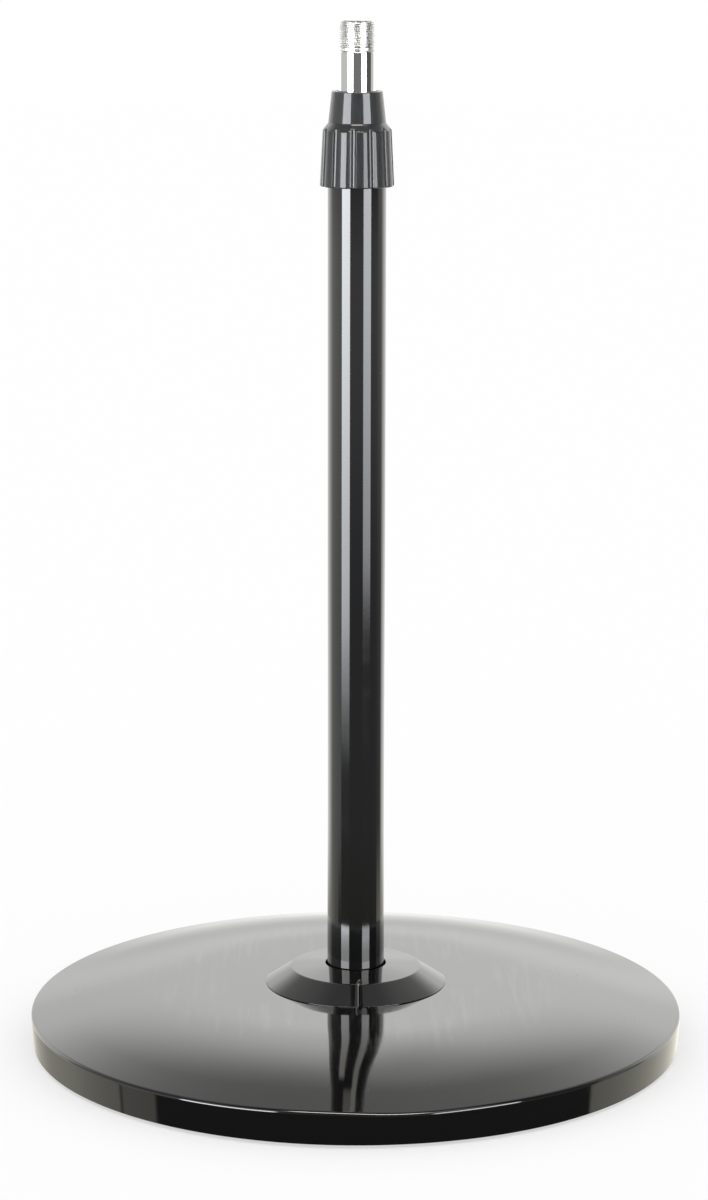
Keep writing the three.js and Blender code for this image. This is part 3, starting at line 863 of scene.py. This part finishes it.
def thread_insert():
    """A 5/8 inch-27 stud on a flange, with a plug that goes down into the mast."""
    low, high = box_mm("thread_insert")
    flange_low = box_mm("inner_tube")[1].z + GAP
    flange_top = flange_low + FLANGE_HEIGHT
    plug = MAST_RADIUS - MAST_WALL - GAP
    crest = high.x
    neck = crest - NECK_DEPTH
    start, end = flange_low + THREAD_START, high.z - THREAD_END
    rows = int((end - start) / PITCH * ROWS_PER_PITCH)
    lower = [
        (0, low.z, 0),
        (plug - 0.5, low.z, 0.3),
        (plug, low.z + 1, 0.3),
        (plug, flange_low, 0.1),
        (crest, flange_low, 0.25),
        (crest, flange_top, 0.25),
        (neck, flange_top + 0.35, 0.2),
        (neck, start - 0.3, 0.1),
        (crest, start, 0),
    ]
    outline = [tuple(p) for p in rounded(lower, closed=False, steps=5)]
    outline += [(crest, height) for height in steps_between(start, end, rows)]
    upper = [(crest, end, 0), (crest - TIP_BEVEL, high.z, 0.2), (0, high.z, 0)]
    outline += [tuple(p) for p in rounded(upper, closed=False, steps=4)][1:]

    def cut(radius, height, angle):
        if start <= height <= end and radius > crest - 0.01:
            return radius - thread_depth_at(height, angle, start, end)
        return radius

    vertices, faces = revolve(outline, 96, cut)
    add_object("threaded_stud", vertices, faces, "thread_insert", "mast", "steel", 60)


thread_insert()


# ---------------------------------------------------------------- clutch grip

LOBES = 12
LOBE_RADIUS = 8.0  # of a lobe's face, seen from above
GROOVE_RADIUS = 1.9  # of the hollow groove between two lobes
GROOVE_LIFT = 0.95  # how far out its centre lies past the lobes' faces
LOBE_EDGE = 0.3  # radius of the rounding between the face and the groove
LOBE_TURN = 7.5  # degrees right of the front, at a lobe's middle
LOBES_TOP_RADIUS = 14.65
LOBES_HEIGHT = 23.8
LOBES_RUN_OUT = 3.4  # below the lobes' tops, where they start to run out in the shoulder
SKIRT_HEIGHT = 26.7
SKIRT_EDGE = 0.4  # how far the skirt's lower edge is bevelled in
EDGE_SLOPE = 1.4
EDGE_HEIGHT = 0.9
SHOULDER_SLOPE = 0.8
SHOULDER_TOP = 0.4  # how far under the nose's foot the lobed rows end
NOSE_RADIUS = 12.25
NOSE_TOP_RADIUS = 10.75
GRIP_BORE = 12.9
NOSE_BORE = 8.6
WASHER_POCKET = 11.0


def lobe_outline(radius, steps=(7, 4, 7)):
    """One half of a lobe seen from above, from its middle to the groove's: (angle, radius) pairs
    along the face, the small rounding of its edge and the hollow of the groove."""
    half_pitch = math.pi / LOBES
    face = Vector((radius - LOBE_RADIUS, 0))
    groove = Vector((math.cos(half_pitch), math.sin(half_pitch))) * (radius + GROOVE_LIFT)
    # the rounding's centre: inside the face's circle and outside the groove's, touching both
    to_face, to_groove = LOBE_RADIUS - LOBE_EDGE, GROOVE_RADIUS + LOBE_EDGE
    gap = (groove - face).length
    ahead = (groove - face) / gap
    along = (to_face**2 - to_groove**2 + gap**2) / (2 * gap)
    aside = math.sqrt(to_face**2 - along**2)
    edge = face + ahead * along + Vector((ahead.y, -ahead.x)) * aside
    face_end = math.atan2(edge.y - face.y, edge.x - face.x)
    wall = math.atan2(groove.y - edge.y, groove.x - edge.x)

    arcs = (
        (face, LOBE_RADIUS, 0, face_end),
        (edge, LOBE_EDGE, face_end, wall),
        (groove, -GROOVE_RADIUS, wall, half_pitch),
    )
    points = [Vector((radius, 0))]
    for (centre, size, start, end), count in zip(arcs, steps):
        for k in range(1, count + 1):
            facing = start + (end - start) * k / count
            points.append(centre + Vector((math.cos(facing), math.sin(facing))) * size)
    return [(math.atan2(p.y, p.x), p.length) for p in points]


def lobed(radius):
    """(angle, radius) pairs all the way round."""
    half = lobe_outline(radius)
    lobe = [(-angle, r) for angle, r in reversed(half[1:])] + half[:-1]
    middles = [math.radians(LOBE_TURN) + 2 * math.pi * k / LOBES for k in range(LOBES)]
    return [(middle + angle, r) for middle in middles for angle, r in lobe]


def shoulder(depth):
    """Radius of the sloping shoulder that cuts off the lobes, at a depth under the nose."""
    return NOSE_RADIUS - 0.1 + depth * SHOULDER_SLOPE


def skirt_rows(bottom, skirt_radius):
    """Rows of the lobed outside up to the shoulder's top, each with its (angle, radius) pairs and
    its height. They are close together at the lower edge and where the lobes run out."""
    nose_low = bottom + SKIRT_HEIGHT
    run_out = bottom + LOBES_HEIGHT - LOBES_RUN_OUT
    heights = [bottom + EDGE_HEIGHT * (k / 6) ** 1.5 for k in range(7)]
    heights += steps_between(bottom + EDGE_HEIGHT, run_out, 6)
    heights += steps_between(run_out, nose_low - SHOULDER_TOP, 30)
    rows = []
    for height in heights:
        share = min(1.0, (height - bottom) / LOBES_HEIGHT)
        radius = skirt_radius + (LOBES_TOP_RADIUS - skirt_radius) * share
        bevel = EDGE_SLOPE * (height - bottom) - SKIRT_EDGE
        row = []
        for angle, fluted in lobed(radius):
            if height < bottom + 1:
                fluted = smooth_least(fluted, fluted + bevel, 0.25)
            row.append((angle, smooth_least(fluted, shoulder(nose_low - height), 0.28)))
        rows.append((row, height))
    return rows


def nose_and_bore(bottom, top):
    """Points up the nose from the shoulder's top, over its end and down the bore."""
    nose_low = bottom + SKIRT_HEIGHT
    pocket_top = box_mm("thrust_washer")[1].z + GAP
    corners = [
        (shoulder(SHOULDER_TOP), nose_low - SHOULDER_TOP, 0),
        (NOSE_RADIUS - 0.03, nose_low + 0.15, 0.35),
        (NOSE_TOP_RADIUS + 0.05, top, 0.4),
        (NOSE_BORE, top, 0.3),
        (NOSE_BORE, pocket_top, 0.2),
        (WASHER_POCKET, pocket_top, 0.2),
        (WASHER_POCKET, pocket_top - 0.7, 0.2),
        (GRIP_BORE, pocket_top - 2, 0.2),
        (GRIP_BORE, bottom + 0.3, 0.2),
        (GRIP_BORE + 0.3, bottom, 0),
    ]
    return rounded(corners, closed=False, steps=5, longest=2.5)


def clutch_grip():
    """A skirt with twelve lobes that run out in a shoulder, and a tapered nose."""
    low, high = box_mm("clutch_grip")
    # the lobe nearest to the X axis is that far off it
    skirt_radius = high.x / math.cos(math.radians(LOBE_TURN))
    rows = skirt_rows(low.z, skirt_radius)
    angles = [pair[0] for pair in rows[-1][0]]
    for point in nose_and_bore(low.z, high.z)[1:]:
        rows.append(([(angle, point.x) for angle in angles], point.y))
    count = len(angles)
    vertices = []
    for row, height in rows:
        for angle, radius in row:
            vertices.append((radius * math.sin(angle), -radius * math.cos(angle), height))
    faces = wall_faces(len(rows), count, len(rows))
    add_object("grip", vertices, faces, "clutch_grip", "clutch_nut", "satin_black_plastic", 48)


clutch_grip()


# ---------------------------------------------------------------- underside

PLATE_HOLE = 16.0
FOOT_COUNT, FOOT_CIRCLE, FOOT_START = 6, 120.0, 30.0
SCREW_COUNT, SCREW_CIRCLE, SCREW_START = 4, 70.0, 45.0
STEM_RADIUS = 3.7
SCREW_RADIUS = 2.3
BOLT_RADIUS = 4.9
BOLT_ACROSS_FLATS = 16.0
PRESSED_RINGS = ((44.0, 56.0), (96.0, 106.0))  # inner and outer radii, in the bottom plate
RING_DEPTH = 0.7
CROSS_REACH = 2.1  # from the middle of a screw's cross recess to the end of an arm
CROSS_HALF = 0.42  # half the width of an arm
CROSS_TAPER = 0.488  # the arms' length at the recess's floor, as a share of that at its mouth


def places(count, circle, start):
    """Centres of equally spaced places round the axis, the first one start degrees from the front."""
    turns = [math.radians(start + 360 * k / count) for k in range(count)]
    return [(circle * math.sin(turn), -circle * math.cos(turn)) for turn in turns]


def bores(spots, radius):
    """Cutters for round holes through the bottom plate."""
    top = 6.0  # well above the plate
    vertices, faces = revolve([(0, 0), (radius, 0), (radius, top), (0, top)], 32)
    cutters = []
    for x, y in spots:
        mesh = bpy.data.meshes.new("hole")
        mesh.from_pydata([((vx + x) * MM, (vy + y) * MM, vz * MM) for vx, vy, vz in vertices], [], faces)
        cutters.append(bpy.data.objects.new("hole", mesh))
    return cutters


def thread_rows(radius, depth, pitch, start, end):
    """Valleys and crests of a ridged shank, after a crest at start and until one is past end."""
    rows = []
    crest = start
    while crest < end:
        crest += pitch
        rows += [(radius - depth, crest - pitch / 2), (radius, crest)]
    return rows


def cut_away(piece, cutters):
    """Cut the cutters out of the piece's mesh, then throw them away."""
    for cutter in cutters:
        bpy.context.collection.objects.link(cutter)
        modifier = piece.modifiers.new("cut", "BOOLEAN")
        modifier.operation = "DIFFERENCE"
        modifier.solver = "EXACT"
        modifier.object = cutter
    bpy.context.view_layer.update()
    graph = bpy.context.evaluated_depsgraph_get()
    mesh = bpy.data.meshes.new_from_object(piece.evaluated_get(graph))
    piece.modifiers.clear()
    piece.data = mesh
    mesh.polygons.foreach_set("use_smooth", [True] * len(mesh.polygons))
    mesh.set_sharp_from_angle(angle=math.radians(35))
    for cutter in cutters:
        bpy.data.objects.remove(cutter)


def bottom_plate():
    """Sheet steel with two pressed rings, and holes for the feet and the screws."""
    low, high = box_mm("bottom_plate")

    def sheet(z):
        points = [(PLATE_HOLE, z, 0)]
        for inner, outer in PRESSED_RINGS:
            floor = z - RING_DEPTH
            points += [(inner, z, 2), (inner + 2, floor, 2), (outer - 2, floor, 2), (outer, z, 2)]
        return points + [(high.x, z, 0.3)]

    corners = sheet(low.z) + list(reversed(sheet(high.z)))
    plate = turned("bottom_cover", corners, "bottom_plate", "root", "steel", 144, 3, longest=12)
    holes = bores(places(FOOT_COUNT, FOOT_CIRCLE, FOOT_START), STEM_RADIUS + GAP)
    holes += bores(places(SCREW_COUNT, SCREW_CIRCLE, SCREW_START), SCREW_RADIUS + 0.5)
    cut_away(plate, holes)


def feet():
    """Rubber pads with a sunk middle and a ring groove, on stems with a barb."""
    low, high = box_mm("foot_1")
    rim = (high.x - low.x) / 2
    plate_low, plate_high = box_mm("bottom_plate")
    pad, plate = plate_low.z - GAP, plate_high.z + GAP
    corners = [
        (0, 0.5, 0),
        (3.0, 0.5, 0.3),
        (3.5, 0, 0.3),
        (5.2, 0, 0.2),
        (5.4, 0.45, 0.2),
        (6.2, 0.45, 0.2),
        (6.4, 0, 0.2),
        (rim - 0.2, 0, 0.8),
        (rim - 0.4, pad, 0.4),
        (STEM_RADIUS, pad, 0.2),
        (STEM_RADIUS, plate, 0.1),
        (STEM_RADIUS + 1.1, plate + 0.5, 0.3),
        (STEM_RADIUS - 0.6, high.z, 0.5),
        (0, high.z, 0),
    ]
    outline = [tuple(p) for p in rounded(corners, False, 4)]
    base_vertices, faces = revolve(outline, 48)
    for k, (x, y) in enumerate(places(FOOT_COUNT, FOOT_CIRCLE, FOOT_START)):
        vertices = [(vx + x, vy + y, vz) for vx, vy, vz in base_vertices]
        add_object(f"rubber_foot_{k + 1}", vertices, faces, f"foot_{k + 1}", "root", "rubber")


def cross_cutter(x, y, bottom, depth):
    """A cross-shaped recess with sloping arms, cut upwards into a screw's head."""
    reach, half = CROSS_REACH, CROSS_HALF
    ring = [(half, reach), (half, half), (reach, half), (reach, -half), (half, -half), (half, -reach)]
    ring += [(-across, -along) for across, along in ring]

    def drawn_in(distance):
        return distance * CROSS_TAPER if abs(distance) > half else distance

    lower = [(x + across, y + along, bottom - 0.5) for across, along in ring]
    upper = [(x + drawn_in(across), y + drawn_in(along), bottom + depth) for across, along in ring]
    count = len(ring)
    faces = [tuple(range(count)), tuple(reversed(range(count, 2 * count)))]
    for k in range(count):
        n = (k + 1) % count
        faces.append((k, count + k, count + n, n))
    mesh = bpy.data.meshes.new("cross")
    mesh.from_pydata([tuple(c * MM for c in v) for v in lower + upper], [], faces)
    return bpy.data.objects.new("cross", mesh)


def plate_screws():
    """Pan-head screws with a cross recess and a fine thread."""
    low, high = box_mm("plate_screw_1")
    head = (high.x - low.x) / 2
    head_top = box_mm("bottom_plate")[0].z - GAP
    thread_start = head_top + 2
    pitch, depth = 0.8, 0.3
    corners = [
        (0, low.z, 0),
        (head - 0.6, low.z, 1.0),
        (head, low.z + 1.0, 0.5),
        (head, head_top, 0.15),
        (SCREW_RADIUS, head_top, 0.15),
        (SCREW_RADIUS, thread_start, 0),
    ]
    outline = [tuple(p) for p in rounded(corners, False, 4)]
    outline += thread_rows(SCREW_RADIUS, depth, pitch, thread_start, high.z - 1.2)
    outline += [(SCREW_RADIUS - 0.6, high.z), (0, high.z)]
    base_vertices, faces = revolve(outline, 40)
    for k, (x, y) in enumerate(places(SCREW_COUNT, SCREW_CIRCLE, SCREW_START)):
        vertices = [(vx + x, vy + y, vz) for vx, vy, vz in base_vertices]
        name, node = f"pan_screw_{k + 1}", f"plate_screw_{k + 1}"
        screw = add_object(name, vertices, faces, node, "root", "steel")
        cut_away(screw, [cross_cutter(x, y, low.z, 1.2)])


def anchor_bolt():
    """A hexagon-head bolt: chamfered corners, a washer face and a rolled thread."""
    low, high = box_mm("anchor_bolt")
    head_top = box_mm("spring_washer")[0].z - GAP
    half_flat = BOLT_ACROSS_FLATS / 2
    pitch, depth = 1.25, 0.5

    def hexagon(r, z, angle):
        if r <= half_flat * 0.93 or z > head_top - 0.3:
            return r
        turn = (angle + math.pi / 6) % (math.pi / 3) - math.pi / 6
        flat = half_flat / math.cos(turn)
        chamfer = half_flat * 0.96 + max(0.0, z - low.z) * 1.9
        return min(flat, chamfer)

    outline = [(0, low.z + 0.3), (3.4, low.z + 0.3), (3.7, low.z), (half_flat * 0.9, low.z)]
    steps = 12
    for k in range(steps + 1):
        outline.append((half_flat, low.z + (head_top - 0.6 - low.z) * (k / steps) ** 1.6))
    outline += [(half_flat * 0.92, head_top - 0.3), (half_flat * 0.9, head_top)]
    outline += [(BOLT_RADIUS + 0.2, head_top), (BOLT_RADIUS, head_top + 0.2)]
    thread_start = head_top + 3
    outline.append((BOLT_RADIUS, thread_start))
    outline += thread_rows(BOLT_RADIUS, depth, pitch, thread_start, high.z - 2)
    outline += [(BOLT_RADIUS - 0.9, high.z), (0, high.z)]
    vertices, faces = revolve(outline, 120, hexagon)
    add_object("hex_bolt", vertices, faces, "anchor_bolt", "root", "steel", 28)


bottom_plate()
feet()
plate_screws()
anchor_bolt()


# ---------------------------------------------------------------- what is left of the CAD model


def dress_cad_nodes():
    slots = {p["node"]: p["material_slot"] for p in frame["record"]["subparts"]}
    for node, piece in frame["nodes"].items():
        if piece.hide_render:
            continue
        piece.data.materials.clear()
        piece.data.materials.append(MATERIALS[slots[node]])
        piece.data.polygons.foreach_set("use_smooth", [True] * len(piece.data.polygons))
        piece.data.set_sharp_from_angle(angle=math.radians(30))


dress_cad_nodes()
